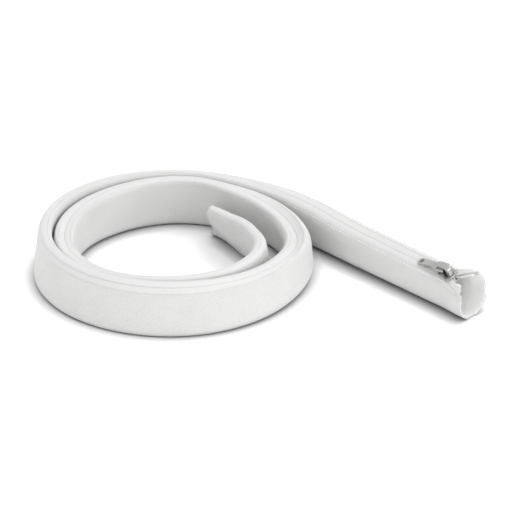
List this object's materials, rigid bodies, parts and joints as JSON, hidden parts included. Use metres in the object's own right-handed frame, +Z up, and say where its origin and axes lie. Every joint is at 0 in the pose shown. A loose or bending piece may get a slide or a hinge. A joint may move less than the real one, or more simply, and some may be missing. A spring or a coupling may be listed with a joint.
{
  "type": "zippered cable sleeve",
  "caption": "Braided cable sleeve slit along its length and closed by a coil zip with a locking slider and pull tab, lying wound on edge with its open end drawn out straight.",
  "frame": {"origin": "on the floor, under the middle of the whole piece's box", "axes": "+X along the straight run and out of its open end, +Z up, +Y to the side of the wound part that the straight run lies on"},
  "size_m": [0.2228, 0.1714, 0.0304],
  "materials": {
    "braid": "fine diagonal braid of white yarn",
    "zip_tape": "woven white tape",
    "zip_coil": "white nylon coil",
    "slider_metal": "bright plated zinc"
  },
  "bodies": {
    "sleeve": {"braided_sleeve": "braid", "zip_tape_near": "zip_tape", "zip_tape_far": "zip_tape", "zip_coil_near": "zip_coil", "zip_coil_far": "zip_coil"},
    "slider": {"slider_body": "slider_metal", "slider_cap": "slider_metal", "lock_spring": "slider_metal"},
    "pull": {"pull_tab": "slider_metal"}
  },
  "joints": [
    {"name": "slider_slide", "type": "slide", "parent": "sleeve", "child": "slider", "axis": [-1, 0, 0], "range_m": [0, 0.035], "deforming": ["zip_tape_near", "zip_tape_far", "zip_coil_near", "zip_coil_far"]},
    {"name": "pull_hinge", "type": "hinge", "parent": "slider", "child": "pull", "pos_m": [0.09684, 0.06777, 0.02568], "axis": [0, 0.9169, 0.3991], "range_deg": [0, 150]}
  ]
}
